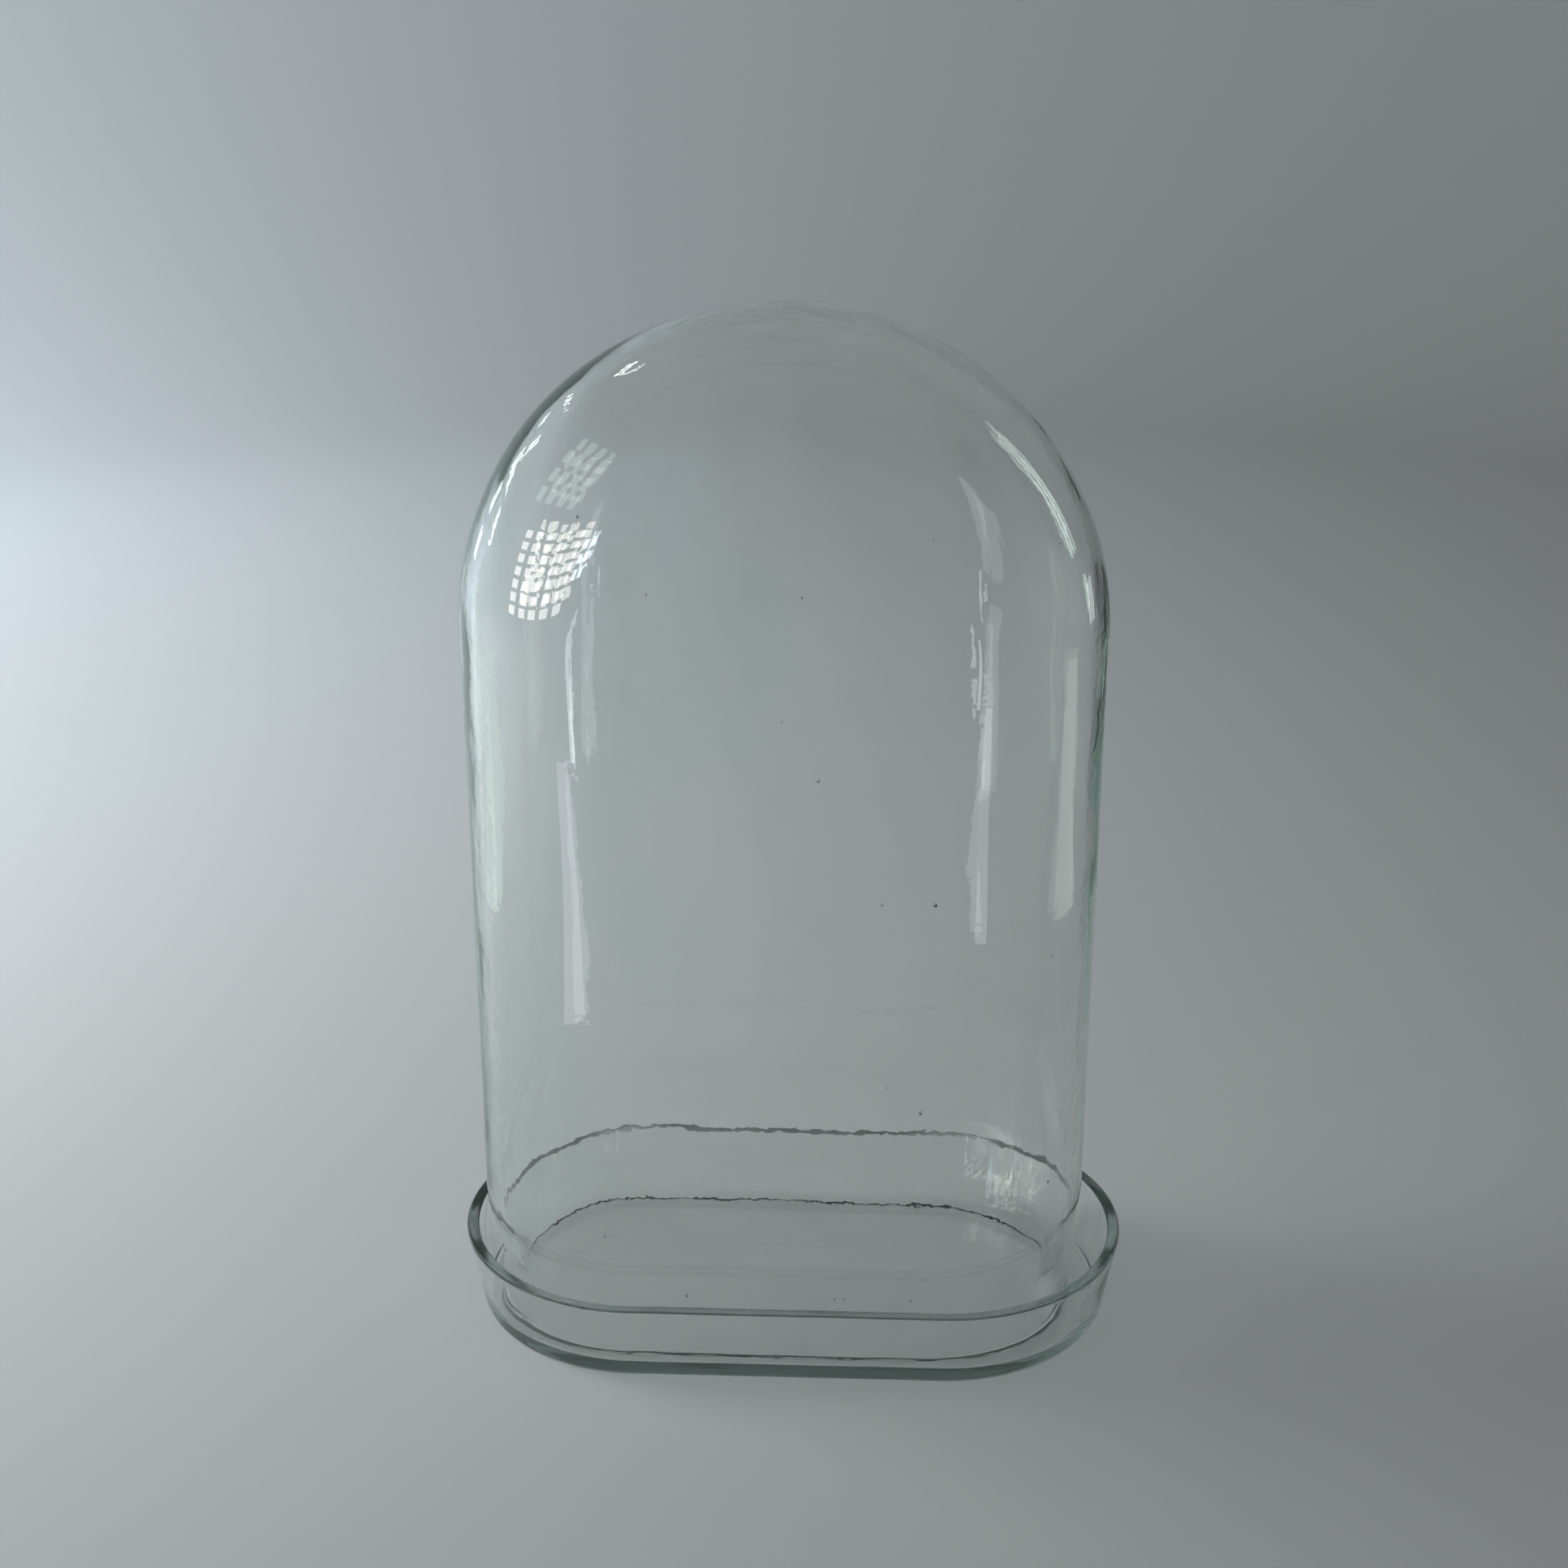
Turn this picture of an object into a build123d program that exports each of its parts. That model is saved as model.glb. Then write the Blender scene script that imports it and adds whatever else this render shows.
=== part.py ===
"""Glass cloche: a blown dome with an obround plan, standing loose in a shallow moulded glass tray.

Millimetres. +Z is up, X runs along the length, and the origin is under the middle of the tray,
on the surface that the tray stands on.
"""
import os

from build123d import *

# ---- tray ----
tray_length = 330.0  # over the rim
tray_width = 182.0  # over the rim
tray_height = 41.0
tray_flare = 7.5  # how far the rim stands out beyond the foot, on every side
tray_wall = 6.0
tray_floor = 7.0
tray_foot_round = 4.0  # outside, where the wall turns under
tray_corner_round = 3.0  # inside, between the floor and the wall
rim_arris = 0.8  # small bevel ground on both edges of the flat rim

# ---- dome ----
dome_length = 298.0
dome_width = 156.0
dome_height = 494.4
dome_wall = 5.5  # the sides, measured level
crown_wall = 3.5  # the glass is blown thinner at the very top
neck_height = 50.0  # above the foot, where the drawn-in neck meets the straight side
neck_round = 60.0  # outside radius of the bend at the top of the neck
waist_height = 20.0  # above the foot, the narrowest place
waist_draw = 8.0  # how far in from the straight side the two slants of the neck would meet
waist_round = 30.0  # outside radius of the hollow between those slants
foot_draw = 4.0  # how far in from the straight side the cut foot stands
foot_arris = 1.2  # rounding of the cut foot
dome_shift = -4.6  # the dome stands pushed to the left, as far as its play in the tray lets it
seat_gap = 0.1  # keeps the loose dome just clear of the tray floor

# ---- worked out ----
# An obround of length L and width W is two half circles of radius W/2 round centres L/2 - W/2 from
# the middle, joined by straight sides. Insetting it leaves those centres where they are.
tray_reach = (tray_length - tray_width) / 2
dome_reach = (dome_length - dome_width) / 2
dome_foot_z = tray_floor + seat_gap
arch_z = dome_foot_z + dome_height - dome_length / 2  # centre of the round arch

os.makedirs("parts", exist_ok=True)


def cross_section(x):
    """The upright plane across the width at x, with local x along +Y and local y along +Z."""
    return Plane(origin=(x, 0, 0), x_dir=(0, 1, 0), z_dir=(1, 0, 0))


def upright_axis(x):
    return Axis((x, 0, 0), (0, 0, 1))


# ---- tray: a cross-section carried along the straight sides and round both ends ----
def tray_outside():
    """Half of the outside, from the middle to the rim, with the rounded foot."""
    half = tray_width / 2
    with BuildSketch() as outside:
        with BuildLine():
            Polyline((0, 0), (half - tray_flare, 0), (half, tray_height), (0, tray_height), close=True)
        make_face()
        foot = outside.vertices().filter_by(lambda v: abs(v.Y) < 0.01).sort_by(Axis.X)[-1]
        fillet(foot, tray_foot_round)
        rim = outside.vertices().sort_by(Axis.X)[-1]
        chamfer(rim, rim_arris)
    return outside.sketch


def tray_hollow():
    """Half of the hollow above the floor, with the rounded corner; it widens at the rim's inner bevel."""
    lean = tray_flare / tray_height
    rim_y = tray_width / 2 - tray_wall
    floor_y = rim_y - lean * (tray_height - tray_floor)
    above = 5.0  # the cutter runs this far past the rim
    with BuildSketch() as hollow:
        with BuildLine():
            Polyline(
                (0, tray_floor),
                (floor_y, tray_floor),
                (rim_y - lean * rim_arris, tray_height - rim_arris),
                (rim_y + rim_arris, tray_height),
                (rim_y + rim_arris, tray_height + above),
                (0, tray_height + above),
                close=True,
            )
        make_face()
        corner = hollow.vertices().group_by(Axis.Y)[0].sort_by(Axis.X)[-1]
        fillet(corner, tray_corner_round)
    return hollow.sketch


def obround_body(half_section, reach):
    """Carries a half cross-section along the straight sides and round both ends."""
    with BuildPart() as body:
        with BuildSketch(cross_section(0)):
            add(half_section)
            mirror(about=Plane.YZ)
        extrude(amount=reach, both=True)
        with BuildSketch(cross_section(reach)):
            add(half_section)
        revolve(axis=upright_axis(reach), revolution_arc=-180)
        with BuildSketch(cross_section(-reach)):
            add(half_section)
        revolve(axis=upright_axis(-reach), revolution_arc=180)
    return body.part


with BuildPart() as glass_tray:
    add(obround_body(tray_outside(), tray_reach))
    add(obround_body(tray_hollow(), tray_reach), mode=Mode.SUBTRACT)
glass_tray.part.label = "glass_tray"
export_step(glass_tray.part, "parts/glass_tray.step")


# ---- dome: the lower walls as on the tray, and the arch as half an obround turned over the top ----
def dome_section(inset, top):
    """Half of the cross-section up to height top: the flared foot, the waist, the bend and the straight side."""
    half = dome_width / 2 - inset
    waist_z = dome_foot_z + waist_height
    neck_z = dome_foot_z + neck_height
    with BuildSketch() as section:
        with BuildLine():
            Polyline(
                (0, dome_foot_z),
                (half - foot_draw, dome_foot_z),
                (half - waist_draw, waist_z),
                (half, neck_z),
                (half, top),
                (0, top),
                close=True,
            )
        make_face()
        waist = section.vertices().filter_by(lambda v: abs(v.Y - waist_z) < 0.01)
        fillet(waist, waist_round + inset)
        bend = section.vertices().filter_by(lambda v: abs(v.Y - neck_z) < 0.01)
        fillet(bend, neck_round - inset)
    return section.sketch


def arch(inset, centre_z):
    """The arched top: half of the obround plan turned over a level axis across the width."""
    length = dome_length - 2 * inset
    width = dome_width - 2 * inset
    with BuildPart() as top:
        with BuildSketch(Plane.XY.offset(centre_z)):
            SlotOverall(length, width)
            with Locations((-length / 2, 0)):
                Rectangle(length, width * 2, mode=Mode.SUBTRACT)
        revolve(axis=Axis((0, 0, centre_z), (0, 1, 0)), revolution_arc=-180)
    return top.part


def dome_solid(inset, centre_z):
    """A filled dome, inset from the outside, with its arch centred at centre_z."""
    with BuildPart() as filled:
        add(obround_body(dome_section(inset, centre_z), dome_reach))
        add(arch(inset, centre_z))
    return filled.part


with BuildPart() as glass_dome:
    with Locations((dome_shift, 0, 0)):
        add(dome_solid(0, arch_z))
        add(dome_solid(dome_wall, arch_z + dome_wall - crown_wall), mode=Mode.SUBTRACT)
    foot_face = glass_dome.faces().sort_by(Axis.Z)[0]
    fillet(foot_face.edges(), foot_arris)
glass_dome.part.label = "glass_dome"
export_step(glass_dome.part, "parts/glass_dome.step")
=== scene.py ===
"""The looks of a blown glass cloche standing in its pressed glass tray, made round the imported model.

Metres, in the model's own frame: +Z up, X along the length, the origin under the middle of the tray.
Both pieces are closed meshes: a cap, a run of rings, and a second cap. The dome has bubbles in its wall.
"""
import math

import bmesh
import bpy
import numpy as np
from mathutils import Matrix, Vector, noise


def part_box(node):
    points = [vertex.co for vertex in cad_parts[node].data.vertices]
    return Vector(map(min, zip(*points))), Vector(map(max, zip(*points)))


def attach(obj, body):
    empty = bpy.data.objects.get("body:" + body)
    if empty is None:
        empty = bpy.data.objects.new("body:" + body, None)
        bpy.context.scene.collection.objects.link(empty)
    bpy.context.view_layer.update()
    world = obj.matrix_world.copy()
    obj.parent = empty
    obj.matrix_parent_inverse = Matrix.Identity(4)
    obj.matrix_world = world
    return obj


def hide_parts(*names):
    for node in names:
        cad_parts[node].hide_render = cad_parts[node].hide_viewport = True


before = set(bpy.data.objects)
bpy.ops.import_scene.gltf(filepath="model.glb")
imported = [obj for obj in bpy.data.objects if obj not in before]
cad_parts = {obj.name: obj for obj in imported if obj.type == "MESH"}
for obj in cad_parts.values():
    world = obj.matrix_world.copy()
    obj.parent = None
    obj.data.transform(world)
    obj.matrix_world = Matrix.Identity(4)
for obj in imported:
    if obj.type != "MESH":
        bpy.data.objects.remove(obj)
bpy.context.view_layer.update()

MM = 0.001

# ---- sizes read from the frame ----
dome_low, dome_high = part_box("glass_dome")
tray_low, tray_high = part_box("glass_tray")
DOME_X = (dome_low.x + dome_high.x) / 2
DOME_HALF = (dome_high.y - dome_low.y) / 2
DOME_REACH = (dome_high.x - dome_low.x) / 2 - DOME_HALF
FOOT_Z = dome_low.z
ARCH_Z = dome_high.z - DOME_REACH - DOME_HALF
TRAY_HALF = (tray_high.y - tray_low.y) / 2
TRAY_REACH = (tray_high.x - tray_low.x) / 2 - TRAY_HALF
TRAY_TOP = tray_high.z

# ---- sizes the frame doesn't give ----
DOME_WALL = 5.5 * MM
CROWN_THINNER = 2.0 * MM
NECK_HEIGHT = 50 * MM
NECK_ROUND = 60 * MM
WAIST_HEIGHT = 20 * MM
WAIST_DRAW = 8 * MM
WAIST_ROUND = 30 * MM
FOOT_DRAW = 4 * MM
TRAY_FLOOR = 7 * MM
TRAY_WALL = 6 * MM
TRAY_FLARE = 7.5 * MM
TRAY_FOOT_ROUND = 4 * MM
TRAY_CORNER_ROUND = 3 * MM
RIM_ROUND = 0.9 * MM

# ---- how uneven the glass is ----
# Layers of waves: the height in millimetres, the size of one swelling along x, y and z, and a seed.
DOME_SWELL = (
    (0.40, (0.07, 0.07, 0.11), 3.1),
    (0.05, (0.018, 0.018, 0.05), 7.7),
)
DOME_INSIDE_WAVES = (
    (0.50, (0.055, 0.055, 0.16), 11.3),
    (0.12, (0.02, 0.02, 0.045), 17.9),
    (0.05, (0.011, 0.011, 0.02), 23.1),
)
TRAY_INSIDE_WAVES = (
    (0.45, (0.06, 0.06, 0.05), 41.7),
    (0.10, (0.02, 0.02, 0.03), 43.3),
)
TRAY_OUTSIDE_WAVES = ((0.22, (0.08, 0.08, 0.06), 47.1),)
TRAY_FLOOR_WAVES = ((0.16, (0.05, 0.05, 1), 53.9),)
CROWN_FADE = (118 * MM, 144 * MM)  # above the arch's centre, where the dome's waves fade out
FOOT_FADE = (5 * MM, 60 * MM)  # above the foot, where they fade in
SHOULDER = np.array([DOME_X - 0.112, 0, ARCH_Z + 0.088])  # the left shoulder bulges a little
SHOULDER_SIZE = (0.05, 0.09, 0.05)
SHOULDER_BULGE = 0.8  # millimetres
LEFT_THICKER = 1.6  # millimetres more glass in the dome's left end
LEFT_FADE = (0.09, 0.15)  # left of the tray's middle, where that glass begins and is all there
FOOT_ARRIS = 1.2  # millimetres, the rounding of the cut foot, which chips make smaller or larger
FOOT_ARRIS_LIMITS = (0.4, 2.4)
WALL_END = 1.6 * MM  # above the foot; the widest rounding begins just below
RIM_NICKS = (  # x, y, size and depth
    (-0.0965, -0.0885, 1.6 * MM, 0.7 * MM),
    (0.1335, -0.0692, 1.5 * MM, 0.8 * MM),
    (0.1590, -0.0310, 1.3 * MM, 0.6 * MM),
    (0.0420, 0.0895, 1.8 * MM, 0.6 * MM),
)
SEED_COUNT = 26
SEED_RADIUS = (0.3, 0.75)  # millimetres
SEED_STRETCH = (1, 1.7)  # upwards

# ---- how finely the meshes are cut ----
DOME_CAP_CELLS = (92, 64)
TRAY_CAP_CELLS = (150, 100)
CAP_TILT = math.radians(50)  # the dome's cap ends this far from the crown
ARCH_ROWS = 35
STRAIGHT_ROWS = 61
NECK_ROWS = 33
NECK_ROWS_FROM = 75 * MM  # the height where the closer rows of the neck begin
TRAY_CAP_INSET = 2 * MM
CROWN_RIPPLE = 0.3  # the share of the inside's fine ripples that is left at the crown


# ---- small helpers ----
def waves(points, lump, seed):
    """Smooth noise from about -1 to 1 at each point. lump is the size of one swelling along x, y and z."""
    return np.array([noise.noise(Vector(p)) for p in points / np.array(lump) + seed]) * 1.6


def layered(points, layers):
    """Layers of waves added up, in millimetres."""
    return sum(height * waves(points, lump, seed) for height, lump, seed in layers)


def smooth_step(value, start, end):
    t = np.clip((value - start) / (end - start), 0, 1)
    return t * t * (3 - 2 * t)


def disc_grid(n_long, n_short):
    """A grid of quads laid over the unit disc: each point's radius and angle, the quads, and the border."""
    i, j = np.meshgrid(np.arange(n_long + 1), np.arange(n_short + 1), indexing="ij")
    u, v = 2 * i / n_long - 1, 2 * j / n_short - 1
    x, y = u * np.sqrt(1 - v * v / 2), v * np.sqrt(1 - u * u / 2)
    number = i * (n_short + 1) + j
    corners = [number[:-1, :-1], number[1:, :-1], number[1:, 1:], number[:-1, 1:]]
    sides = [number[-1, :-1], number[:0:-1, -1], number[0, :0:-1], number[:-1, 0]]
    quads = np.stack(corners, -1).reshape(-1, 4)
    return np.hypot(x, y).ravel(), np.arctan2(y, x).ravel(), quads, np.concatenate(sides)


def obround(theta, reach, half):
    """For each point of an obround, its start on the middle line and its level way out from there."""
    x, y = (reach + half) * np.cos(theta), half * np.sin(theta)
    start = np.clip(x, -reach, reach)
    out = np.stack([x - start, y], -1)
    return start, out / np.linalg.norm(out, axis=1, keepdims=True)


def closed_shell(name, cap, first_cap, rings, last_cap, material, cut, inner, flip=False):
    """One closed mesh. rings run from the first cap's border to the last cap's.

    cut and inner have a number for the first cap, each ring and the last cap. They say how far it is
    a cut edge and how far it is the inside, and the glass reads both. flip turns the faces over.
    """
    _, _, quads, border = cap
    count, around = len(first_cap), len(border)
    last = count + len(rings) * around
    loops = [border, *(count + k * around + np.arange(around) for k in range(len(rings))), last + border]
    faces = [quads]
    for a, b in zip(loops, loops[1:]):
        faces.append(np.stack([a, b, np.roll(b, -1), np.roll(a, -1)], -1))
    faces.append(last + quads[:, ::-1])
    faces = np.concatenate(faces)
    if flip:
        faces = faces[:, ::-1]
    mesh = bpy.data.meshes.new(name)
    mesh.from_pydata(np.concatenate([first_cap, *rings, last_cap]).tolist(), [], faces.tolist())
    mesh.materials.append(material)
    mesh.shade_smooth()
    for attribute, part in (("cut", cut), ("inner", inner)):
        values = np.repeat(np.array(part, np.float32), [count] + [around] * len(rings) + [count])
        mesh.attributes.new(attribute, "FLOAT", "POINT").data.foreach_set("value", values)
    piece = bpy.data.objects.new(name, mesh)
    bpy.context.scene.collection.objects.link(piece)
    return piece


# ---- the dome's shape ----
def rounded(before, corner, after, radius):
    """Points of a cross-section round a corner between two straights."""
    a = np.subtract(before, corner) / math.dist(before, corner)
    b = np.subtract(after, corner) / math.dist(after, corner)
    half = math.acos(a @ b) / 2
    centre = corner + (a + b) / np.linalg.norm(a + b) * radius / math.sin(half)
    start, end = (corner + way * radius / math.tan(half) - centre for way in (a, b))
    turn = math.pi - 2 * half
    t = np.linspace(0, turn, 24)[:, None]
    return centre + (start * np.sin(turn - t) + end * np.sin(t)) / math.sin(turn)


def neck_draw(z, inset):
    """How far in from the straight side the wall stands at height z: the foot, the waist and the bend."""
    foot, waist = (FOOT_DRAW, FOOT_Z), (WAIST_DRAW, FOOT_Z + WAIST_HEIGHT)
    neck, side = (0, FOOT_Z + NECK_HEIGHT), (0, ARCH_Z)
    hollow = rounded(foot, waist, neck, WAIST_ROUND + inset)
    bend = rounded(waist, neck, side, NECK_ROUND - inset)
    draw, height = np.concatenate([[foot], hollow, bend, [side]]).T
    return np.interp(z, height, draw)


def dome_skin(near, inner):
    """The outside or the inside of the dome, at points near it.

    The dome is everything within half its width of an upright plate with a round top. Blowing left it
    a little uneven, and its inside more so.
    """
    x = near[:, 0] - DOME_X
    above = np.maximum(near[:, 2] - ARCH_Z, 0)
    share = np.minimum(1, DOME_REACH / np.maximum(np.hypot(x, above), 1e-9))
    plate_z = np.where(above > 0, ARCH_Z + above * share, near[:, 2])
    plate = np.stack([DOME_X + x * share, np.zeros_like(x), plate_z], -1)
    out = near - plate
    out /= np.linalg.norm(out, axis=1, keepdims=True)
    nominal = plate + out * DOME_HALF
    off_crown = 1 - smooth_step(nominal[:, 2], ARCH_Z + CROWN_FADE[0], ARCH_Z + CROWN_FADE[1])
    off_foot = smooth_step(nominal[:, 2], FOOT_Z + FOOT_FADE[0], FOOT_Z + FOOT_FADE[1])
    from_shoulder = np.linalg.norm((nominal - SHOULDER) / SHOULDER_SIZE, axis=1)
    swell = layered(nominal, DOME_SWELL) + SHOULDER_BULGE * np.exp(-from_shoulder**2)
    swell = swell * off_crown * off_foot * MM
    half = DOME_HALF + swell - neck_draw(nominal[:, 2], DOME_WALL if inner else 0)
    if inner:
        rise = np.clip((nominal[:, 2] - ARCH_Z) / (DOME_REACH + DOME_HALF), 0, 1)
        left = smooth_step(-nominal[:, 0], *LEFT_FADE) * off_crown
        uneven = layered(nominal, DOME_INSIDE_WAVES)
        thicker = LEFT_THICKER * left * off_foot + uneven * (0.35 + 0.65 * off_foot)
        half -= DOME_WALL - CROWN_THINNER * rise + thicker * MM
    return plate + out * half[:, None]


def dome_near(tilt, theta):
    """Points near the arched top. tilt is 0 at the crown and a right angle where the sides begin."""
    long, short = DOME_REACH + DOME_HALF, DOME_HALF
    side, up = np.sin(tilt), np.cos(tilt)
    x = DOME_X + long * side * np.cos(theta)
    y = short * side * np.sin(theta)
    return np.stack([x, y, ARCH_Z + long * up], -1)


def dome_foot(outer, inner):
    """Rings across the cut foot, from the outer wall to the inner one, with unevenly ground edges."""
    level = np.stack([outer[:, 0], outer[:, 1], np.full(len(outer), FOOT_Z)], -1)
    across = inner - outer
    width = np.linalg.norm(across, axis=1)
    edges = []
    for at_inside, seed in ((False, 31.3), (True, 37.9)):
        chips = layered(level, ((0.45, (0.014, 0.014, 1), seed), (0.4, (0.006, 0.006, 1), seed + 5)))
        arris = np.clip(FOOT_ARRIS + chips, *FOOT_ARRIS_LIMITS) * MM
        edge = []
        for angle in np.radians([20, 45, 70, 90]):
            inset = arris * (1 - math.cos(angle)) / width
            ring = outer + across * (1 - inset if at_inside else inset)[:, None]
            ring[:, 2] = FOOT_Z + arris * (1 - math.sin(angle))
            edge.append(ring)
        edges.append(edge)
    outer_edge, inner_edge = edges
    between = outer_edge[-1] * 0.5 + 0.5 * (outer + across * 0.8)
    between[:, 2] = FOOT_Z
    return outer_edge + [between] + inner_edge[::-1]


def make_dome(material):
    cap = disc_grid(*DOME_CAP_CELLS)
    radius, theta, _, border = cap
    tilts = np.linspace(CAP_TILT, math.pi / 2, ARCH_ROWS + 1)[1:]
    rows = [dome_near(np.full(len(border), tilt), theta[border]) for tilt in tilts]
    spring = rows[-1]
    straight = np.linspace(ARCH_Z, NECK_ROWS_FROM, STRAIGHT_ROWS + 1)[1:]
    neck = np.linspace(NECK_ROWS_FROM, FOOT_Z + WALL_END, NECK_ROWS + 1)[1:]
    for z in [*straight, *neck]:
        row = spring.copy()
        row[:, 2] = z
        rows.append(row)
    outside = [dome_skin(row, False) for row in rows]
    inside = [dome_skin(row, True) for row in rows]
    foot = dome_foot(outside[-1], inside[-1])
    rings = outside + foot + inside[::-1]
    near_cap = dome_near(radius * CAP_TILT, theta)
    outer_cap = dome_skin(near_cap, False)
    inner_cap = dome_skin(near_cap, True)
    cut = [0] * (len(outside) + 1) + [1] * len(foot) + [0] * (len(inside) + 1)
    towards_crown = np.linspace(1, CROWN_RIPPLE, ARCH_ROWS).tolist()
    below_arch = [1] * (len(inside) - ARCH_ROWS)
    inner = [0] * (len(outside) + 1 + len(foot)) + below_arch + towards_crown + [CROWN_RIPPLE]
    dome = closed_shell("glass_dome_blown", cap, outer_cap, rings, inner_cap, material, cut, inner)
    add_seeds(dome, outside, inside)
    return dome


def add_seeds(dome, outside, inside):
    """Small bubbles in the middle of the wall: closed hollows whose faces turn towards their middles."""
    chance = np.random.default_rng(12)
    shell = bmesh.new()
    shell.from_mesh(dome.data)
    first_row, end_row = 2, len(outside) - 12  # none in the foot
    for _ in range(SEED_COUNT):
        row = chance.integers(first_row, end_row)
        place = chance.integers(0, len(outside[0]))
        middle = Matrix.Translation((outside[row][place] + inside[row][place]) / 2)
        size = chance.uniform(*SEED_RADIUS) * MM
        stretch = Matrix.Diagonal((1, 1, chance.uniform(*SEED_STRETCH), 1))
        bubble = bmesh.ops.create_icosphere(shell, subdivisions=2, radius=size, matrix=middle @ stretch)
        faces = list({face for corner in bubble["verts"] for face in corner.link_faces})
        bmesh.ops.reverse_faces(shell, faces=faces)
    shell.to_mesh(dome.data)
    shell.free()
    dome.data.shade_smooth()


# ---- the tray's shape ----
def arc(centre, radius, start, end, count):
    """Points of a cross-section round a corner. Angles are in radians from level."""
    turns = np.linspace(start, end, count)
    return [(centre[0] + radius * math.cos(t), centre[1] + radius * math.sin(t)) for t in turns]


def run(a, b, step=2.2 * MM):
    """Points of a cross-section on the straight between a and b, without either end."""
    count = max(2, math.ceil(math.dist(a, b) / step))
    return [(a[0] + (b[0] - a[0]) * k / count, a[1] + (b[1] - a[1]) * k / count) for k in range(1, count)]


def tray_section():
    """The wall's cross-section as (distance out, height): the foot, the outside, the rim, the inside.

    Also returns how many points come before the rim and before the inside wall.
    """
    lean = math.atan2(TRAY_FLARE, TRAY_TOP)
    tuck = (1 - math.sin(lean)) / math.cos(lean)
    spread = (1 + math.sin(lean)) / math.cos(lean)
    floor_half = TRAY_HALF - TRAY_WALL - math.tan(lean) * (TRAY_TOP - TRAY_FLOOR)
    foot_at = (TRAY_HALF - TRAY_FLARE - TRAY_FOOT_ROUND * tuck, TRAY_FOOT_ROUND)
    foot = arc(foot_at, TRAY_FOOT_ROUND, -math.pi / 2, -lean, 9)
    outer = arc((TRAY_HALF - RIM_ROUND * spread, TRAY_TOP - RIM_ROUND), RIM_ROUND, -lean, math.pi / 2, 7)
    inner_at = (TRAY_HALF - TRAY_WALL + RIM_ROUND * tuck, TRAY_TOP - RIM_ROUND)
    inner = arc(inner_at, RIM_ROUND, math.pi / 2, math.pi - lean, 6)
    corner_at = (floor_half - TRAY_CORNER_ROUND * tuck, TRAY_FLOOR + TRAY_CORNER_ROUND)
    corner = arc(corner_at, TRAY_CORNER_ROUND, -lean, -math.pi / 2, 8)
    before_rim = len(foot) + len(run(foot[-1], outer[0]))
    section = foot + run(foot[-1], outer[0]) + outer + run(outer[-1], inner[0], 0.9 * MM) + inner
    before_inside = len(section)
    return section + run(inner[-1], corner[0]) + corner, before_rim, before_inside


def tray_ring(theta, out, z, inside):
    """One ring of the tray's wall, with the small unevenness of pressed glass. Its outside only dips."""
    start, way = obround(theta, TRAY_REACH, TRAY_HALF)
    flat = np.stack([start + way[:, 0] * out, way[:, 1] * out], -1)
    place = np.column_stack([flat, np.full(len(flat), z)])
    if inside:
        below_rim = smooth_step(TRAY_TOP - z, 3 * MM, 16 * MM)
        give = layered(place, TRAY_INSIDE_WAVES) * below_rim
    else:
        above_foot = smooth_step(z, 0, 3 * MM)
        give = -np.abs(layered(place, TRAY_OUTSIDE_WAVES)) * above_foot
    place[:, :2] += way * (give * MM)[:, None]
    for x, y, size, depth in RIM_NICKS:
        near = np.exp(-((place[:, 0] - x) ** 2 + (place[:, 1] - y) ** 2 + (z - TRAY_TOP) ** 2) / size**2)
        place[:, 2] -= depth * near
    return place


def tray_cap(cap, out, z):
    """The flat inside a ring: the underside, or the floor of the hollow, which is slightly wavy."""
    radius, theta, _, _ = cap
    start, way = obround(theta, TRAY_REACH, TRAY_HALF)
    flat = np.stack([start + way[:, 0] * out, way[:, 1] * out], -1) * radius[:, None]
    place = np.column_stack([flat, np.full(len(flat), z)])
    if z > 0:
        fade = 1 - smooth_step(radius, 0.93, 1)
        place[:, 2] += (layered(place, TRAY_FLOOR_WAVES) - 0.1) * MM * fade
    return place


def make_tray(material):
    cap = disc_grid(*TRAY_CAP_CELLS)
    _, theta, _, border = cap
    section, before_rim, before_inside = tray_section()
    rings = [tray_ring(theta[border], out, z, k >= before_inside) for k, (out, z) in enumerate(section)]
    under = tray_cap(cap, section[0][0] - TRAY_CAP_INSET, 0)
    floor = tray_cap(cap, section[-1][0] - TRAY_CAP_INSET, TRAY_FLOOR)
    cut = [0] + [int(before_rim <= k < before_inside) for k in range(len(rings))] + [0]
    inner = [0] * len(cut)
    return closed_shell("glass_tray_pressed", cap, under, rings, floor, material, cut, inner, flip=True)


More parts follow.
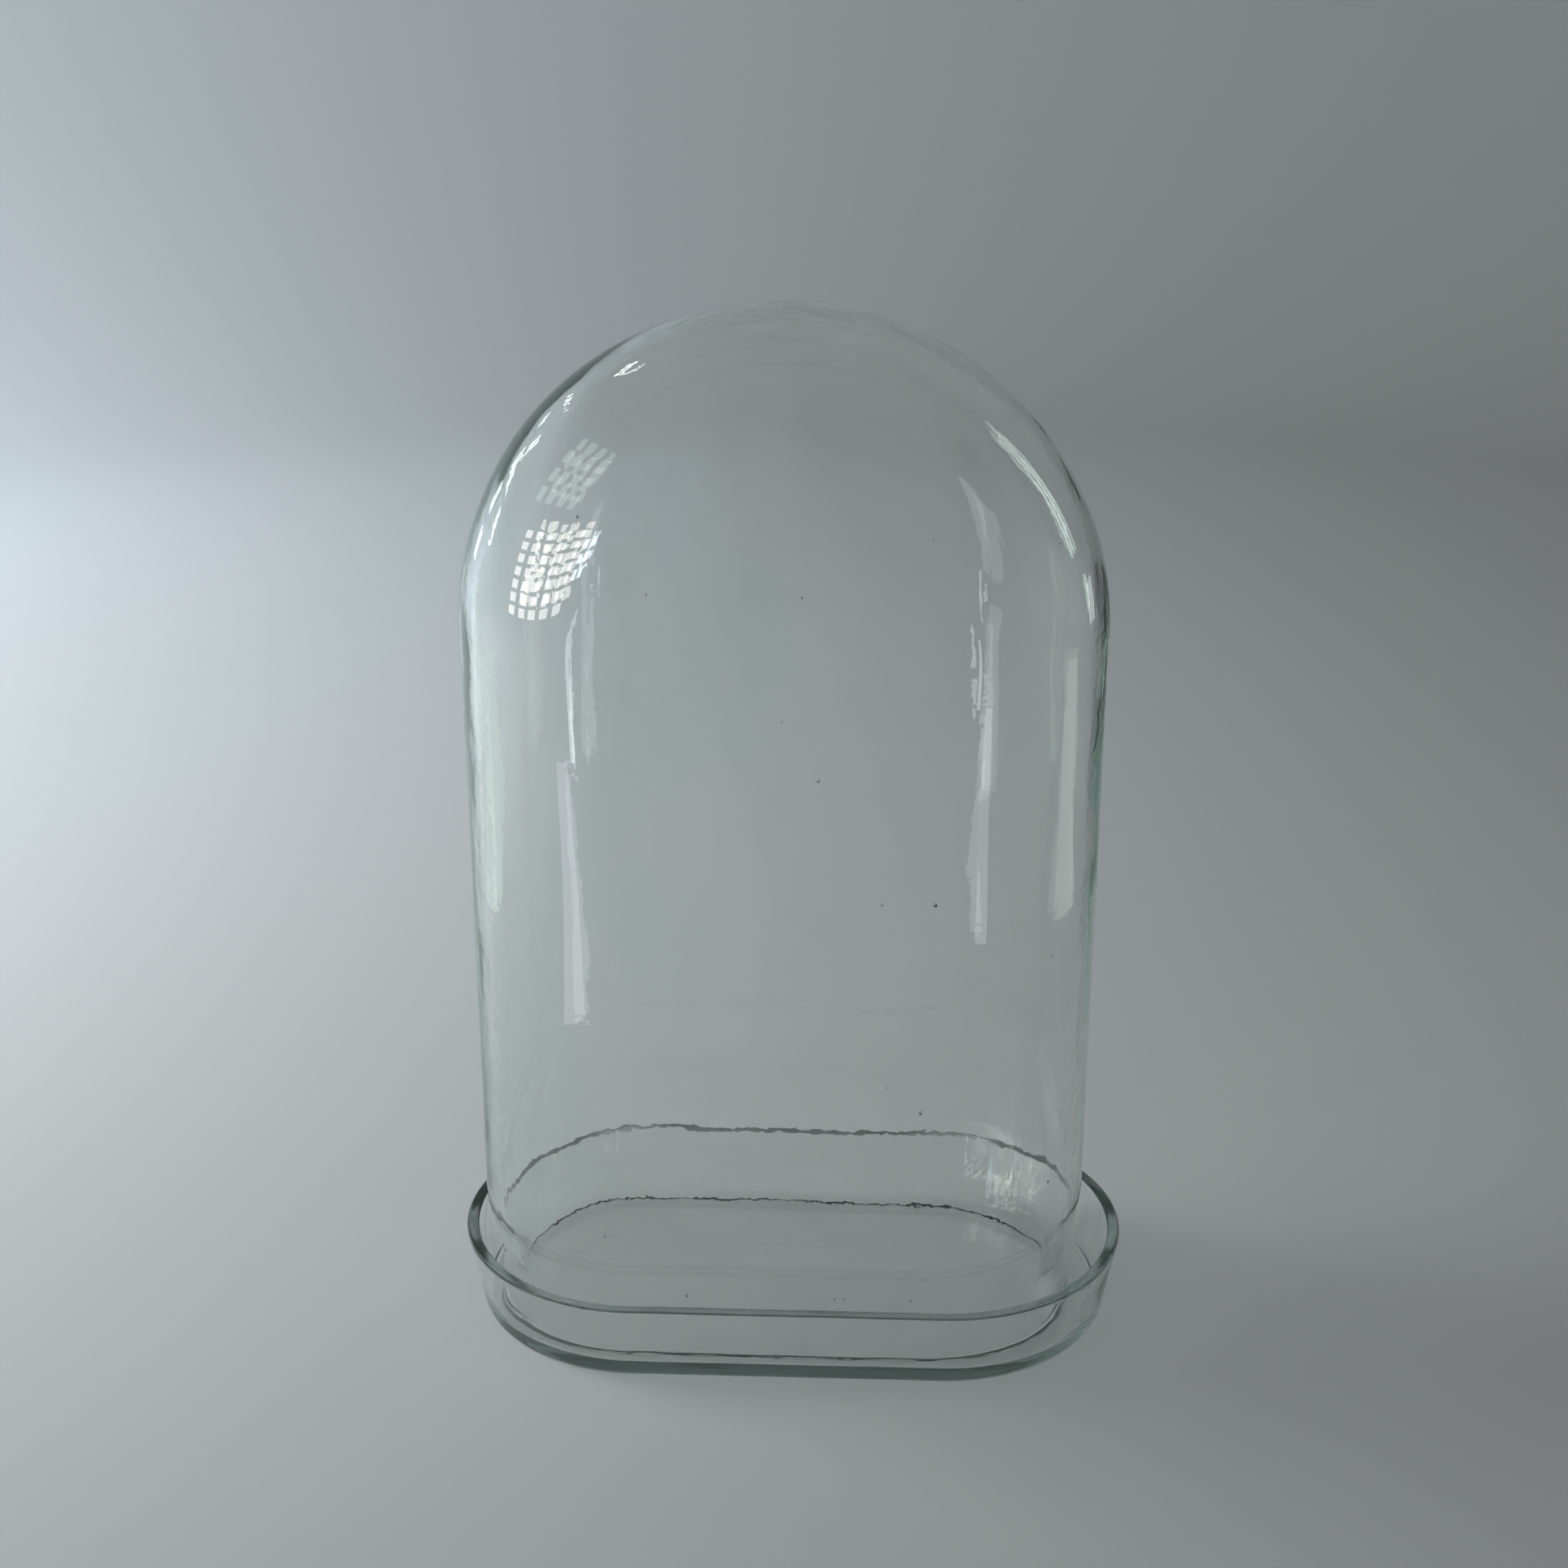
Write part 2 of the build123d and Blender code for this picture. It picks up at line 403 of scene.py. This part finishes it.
# ---- materials ----
def glass(name, tint, density, ripples, cut_ripple, roughness, cut_roughness):
    """Clear glass with a body colour, which comes from tint and density.

    One material covers a whole piece, so that light which enters by one side and leaves by another is
    tinted by the glass between them and by nothing else. ripples are the heights of the fine ripples
    outside and inside, and cut_ripple is their height on a cut edge, all in millimetres. roughness is
    the clean and the smudged value, and cut_roughness is what a cut edge adds.
    """
    material = bpy.data.materials.new(name)
    material.use_nodes = True
    nodes, links = material.node_tree.nodes, material.node_tree.links
    surface = nodes["Principled BSDF"]
    surface.inputs["Transmission Weight"].default_value = 1
    surface.inputs["IOR"].default_value = 1.52
    body = nodes.new("ShaderNodeVolumeAbsorption")
    body.inputs["Color"].default_value = (*tint, 1)
    body.inputs["Density"].default_value = density
    links.new(body.outputs["Volume"], nodes["Material Output"].inputs["Volume"])
    place = nodes.new("ShaderNodeTexCoord")

    def pattern(scale, stretch, detail):
        mapping = nodes.new("ShaderNodeMapping")
        mapping.inputs["Scale"].default_value = stretch
        links.new(place.outputs["Object"], mapping.inputs["Vector"])
        texture = nodes.new("ShaderNodeTexNoise")
        texture.inputs["Scale"].default_value = scale
        texture.inputs["Detail"].default_value = detail
        links.new(mapping.outputs["Vector"], texture.inputs["Vector"])
        return texture.outputs["Fac"]

    def ranged(value, low, high, out_low, out_high):
        node = nodes.new("ShaderNodeMapRange")
        limits = {"From Min": low, "From Max": high, "To Min": out_low, "To Max": out_high}
        for socket, number in limits.items():
            node.inputs[socket].default_value = number
        links.new(value, node.inputs["Value"])
        return node.outputs["Result"]

    def combined(operation, a, b):
        node = nodes.new("ShaderNodeMath")
        node.operation = operation
        links.new(a, node.inputs[0])
        links.new(b, node.inputs[1])
        return node.outputs["Value"]

    def painted(attribute):
        node = nodes.new("ShaderNodeAttribute")
        node.attribute_name = attribute
        return node.outputs["Fac"]

    cut = painted("cut")
    smudge = pattern(26, (1, 1, 0.6), 5)
    rough = combined("ADD", ranged(smudge, 0.5, 0.78, *roughness), ranged(cut, 0, 1, 0, cut_roughness))
    links.new(rough, surface.inputs["Roughness"])
    film = nodes.new("ShaderNodeMix")  # a faint film of dust where the smudges are
    film.data_type = "RGBA"
    film.inputs["A"].default_value = (1.0, 1.0, 1.0, 1)
    film.inputs["B"].default_value = (0.975, 0.985, 0.975, 1)
    links.new(ranged(smudge, 0.42, 0.75, 0, 1), film.inputs["Factor"])
    links.new(film.outputs["Result"], surface.inputs["Base Color"])
    fine = combined("MULTIPLY", pattern(200, (1, 1, 0.85), 1.5), ranged(painted("inner"), 0, 1, *ripples))
    ground = combined("MULTIPLY", pattern(520, (1, 1, 1), 1.5), ranged(cut, 0, 1, 0, cut_ripple))
    bump = nodes.new("ShaderNodeBump")
    bump.inputs["Strength"].default_value = 1
    bump.inputs["Distance"].default_value = MM
    links.new(combined("ADD", fine, ground), bump.inputs["Height"])
    links.new(bump.outputs["Normal"], surface.inputs["Normal"])
    return material


# ---- the studio ----
def plain(name, colour, roughness):
    material = bpy.data.materials.new(name)
    material.use_nodes = True
    surface = material.node_tree.nodes["Principled BSDF"]
    surface.inputs["Base Color"].default_value = (*colour, 1)
    surface.inputs["Roughness"].default_value = roughness
    surface.inputs["Specular IOR Level"].default_value = 0
    return material


def add_stage(name, points, faces, material, smooth=False):
    mesh = bpy.data.meshes.new(name)
    mesh.from_pydata(points, [], faces)
    mesh.materials.append(material)
    if smooth:
        mesh.shade_smooth()
    thing = bpy.data.objects.new(name, mesh)
    bpy.context.scene.collection.objects.link(thing)
    return thing


def make_studio_floor():
    """A round floor that turns up into a wall on every side, so that each view has the same backdrop."""
    radius, turn, wall, around = 3.0, 1.1, 2.4, 128
    profile = [(r, 0.0) for r in (0.4, 0.8, 1.3, radius - turn)]
    turns = np.radians(range(6, 91, 6))
    profile += [(radius - turn + turn * math.sin(a), turn - turn * math.cos(a)) for a in turns]
    profile.append((radius, wall))
    points = [(0.0, 0.0, 0.0)]
    bearings = np.linspace(0, 2 * math.pi, around, endpoint=False)
    for r, z in profile:
        points += [(r * math.cos(a), r * math.sin(a), z) for a in bearings]
    faces = [(0, 1 + k, 1 + (k + 1) % around) for k in range(around)]
    for ring in range(len(profile) - 1):
        a, b = 1 + ring * around, 1 + (ring + 1) * around
        faces += [(a + k, b + k, b + (k + 1) % around, a + (k + 1) % around) for k in range(around)]
    grey = plain("studio_grey", (0.41, 0.415, 0.41), 0.75)
    floor = add_stage("studio_floor", points, faces, grey, smooth=True)
    floor.location.z = -0.3 * MM  # a little air under the tray, as under any glass on a floor


def glow(name, colour, strength):
    material = bpy.data.materials.new(name)
    material.use_nodes = True
    nodes, links = material.node_tree.nodes, material.node_tree.links
    nodes.remove(nodes["Principled BSDF"])
    emission = nodes.new("ShaderNodeEmission")
    emission.inputs["Color"].default_value = (*colour, 1)
    emission.inputs["Strength"].default_value = strength
    links.new(emission.outputs["Emission"], nodes["Material Output"].inputs["Surface"])
    return material


def reflected(name, size, panes, bars, colour, strength, centre, way):
    """A panel of glowing panes that shows only in the glass. It faces along way.

    size is the panel's width and height, and bars are the gaps between its panes, across and up.
    """
    across, up = size[0] / panes[0], size[1] / panes[1]
    points, faces = [], []
    for i in range(panes[0]):
        for j in range(panes[1]):
            x0 = i * across - (size[0] - bars[0]) / 2
            y0 = j * up - (size[1] - bars[1]) / 2
            x1 = x0 + across - bars[0]
            y1 = y0 + up - bars[1]
            faces.append(tuple(range(len(points), len(points) + 4)))
            points += [(x0, y0, 0), (x1, y0, 0), (x1, y1, 0), (x0, y1, 0)]
    panel = add_stage(name, points, faces, glow(name, colour, strength))
    panel.location = centre
    panel.rotation_euler = Vector(way).to_track_quat("Z", "Y").to_euler()
    reflected_only(panel)


def reflected_only(panel):
    """Lets a panel show in the glass and nowhere else: it lights nothing and the camera doesn't see it."""
    panel.visible_camera = False
    panel.visible_diffuse = False
    panel.visible_shadow = False


def standing(name, azimuth, elevation, distance, size, panes, bars, colour, strength):
    """A reflected panel facing the object. Azimuth 0 is in front of it and 90 on its right, in degrees."""
    a, e = math.radians(azimuth), math.radians(elevation)
    way = Vector((math.sin(a) * math.cos(e), -math.cos(a) * math.cos(e), math.sin(e)))
    shoulder_height = Vector((0, 0, 0.35))
    reflected(name, size, panes, bars, colour, strength, shoulder_height + way * distance, -way)


def lying(name, azimuth, span, width, colour, strength):
    """A reflected strip on the floor, running away from the object between the distances in span."""
    a = math.radians(azimuth)
    points, faces = [], [(0, 1, 2, 3)]
    for along, side in ((span[0], -1), (span[0], 1), (span[1], 1), (span[1], -1)):
        x = along * math.sin(a) + side * width / 2 * math.cos(a)
        y = -along * math.cos(a) + side * width / 2 * math.sin(a)
        points.append((x, y, 0.002))
    reflected_only(add_stage(name, points, faces, glow(name, colour, strength)))


def globe(name, place, energy, colour, shadow):
    """A soft round lamp that lights the studio and doesn't show in the glass."""
    light = bpy.data.lights.new(name, "POINT")
    light.shadow_soft_size = 0.4
    light.energy = energy
    light.color = colour
    light.use_shadow = shadow
    lamp = bpy.data.objects.new(name, light)
    bpy.context.scene.collection.objects.link(lamp)
    lamp.location = place
    lamp.visible_camera = False
    lamp.visible_glossy = False
    lamp.visible_transmission = False


def make_lights():
    """Clear glass lets most of the light through, so only part of the key light casts shadows."""
    world = bpy.data.worlds.new("studio_air")
    bpy.context.scene.world = world
    world.use_nodes = True
    air = world.node_tree.nodes["Background"]
    air.inputs["Color"].default_value = (0.92, 0.91, 0.86, 1)
    air.inputs["Strength"].default_value = 0.22
    key_place, key_colour = (-1.35, 0.25, 0.85), (0.89, 0.95, 0.99)
    globe("key_through", key_place, 70, key_colour, False)
    globe("key_shaded", key_place, 40, key_colour, True)
    globe("backdrop_light", (-1.2, 1.35, 0.8), 38, (0.74, 0.88, 1.0), False)
    garden = (0.86, 1.0, 0.92)
    standing("window_left", -62, 3, 2.2, (1.6, 0.80), (5, 7), (0.12, 0.036), (1.0, 0.95, 0.88), 9)
    standing("window_left_upper", -72, 28, 2.2, (1.2, 0.70), (4, 3), (0.12, 0.07), garden, 2.8)
    standing("sky_gap", -39, 4, 2.2, (0.20, 0.42), (2, 3), (0.03, 0.05), (0.74, 0.87, 1.0), 18)
    standing("doorway_left", -127, 6, 1.8, (0.16, 0.75), (2, 3), (0.03, 0.10), garden, 7)
    standing("shelf_light_left", -135, 19, 1.8, (0.12, 0.07), (3, 1), (0.02, 0.0), garden, 9)
    standing("lamp_left", -134, 42, 1.8, (0.16, 0.10), (3, 2), (0.02, 0.02), (0.92, 1.0, 0.96), 18)
    standing("doorway_right", 111, 19, 1.8, (0.26, 0.95), (3, 1), (0.03, 0.0), garden, 3.0)
    standing("doorway_right_low", 119, -7, 1.8, (0.24, 0.24), (3, 1), (0.03, 0.0), garden, 3.0)
    lying("floor_light_left", -43, (0.48, 0.95), 0.11, (0.88, 0.90, 1.0), 2.6)
    lying("floor_far_left", -36, (0.95, 1.88), 0.055, (0.88, 0.94, 1.0), 5.4)
    lying("floor_light_right", 35, (0.60, 1.05), 0.08, (0.90, 0.92, 1.0), 2.4)
    lying("floor_far_right", 28, (1.05, 1.88), 0.045, (0.90, 0.92, 1.0), 4.8)
    lying("floor_pale_right", 97, (0.62, 1.30), 0.20, (0.92, 1.0, 0.90), 0.9)
    lying("floor_pale_left", -105, (0.62, 1.20), 0.14, (0.84, 1.0, 0.92), 1.4)


def make_camera():
    """The photograph's view: from a little right of the middle, about 22 degrees down, with no roll."""
    camera = bpy.data.cameras.new("camera")
    camera.lens = 55.9
    camera.clip_start, camera.clip_end = 0.02, 50
    eye = bpy.data.objects.new("camera", camera)
    bpy.context.scene.collection.objects.link(eye)
    eye.location = (0.0394, -1.0655, 0.6988)
    pan, pitch = 0.041, 0.378  # radians, to the left and down
    way = Vector((-math.sin(pan) * math.cos(pitch), math.cos(pan) * math.cos(pitch), -math.sin(pitch)))
    eye.rotation_euler = way.to_track_quat("-Z", "Y").to_euler()
    bpy.context.scene.camera = eye


def set_render():
    scene = bpy.context.scene
    scene.view_settings.view_transform = "Standard"
    cycles = scene.cycles
    cycles.use_denoising = True
    cycles.blur_glossy = 0  # or the floor under the tray goes dark
    cycles.max_bounces = 256  # light runs a long way round inside the dome's wall before it leaves
    cycles.transmission_bounces = 256
    cycles.glossy_bounces = 256


make_camera()
make_studio_floor()
make_lights()
set_render()

dome_glass = glass(
    "dome_glass_blown",
    tint=(0.44, 0.66, 0.56),
    density=11.0,
    ripples=(0.006, 0.06),
    cut_ripple=0.12,
    roughness=(0.0, 0.03),
    cut_roughness=0.12,
)
dome = make_dome(dome_glass)
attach(dome, "dome")
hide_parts("glass_dome")

tray_glass = glass(
    "tray_glass_pressed",
    tint=(0.30, 0.44, 0.40),
    density=11.5,
    ripples=(0.015, 0.015),
    cut_ripple=0.05,
    roughness=(0.0, 0.03),
    cut_roughness=0.22,
)
tray = make_tray(tray_glass)
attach(tray, "tray")
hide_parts("glass_tray")
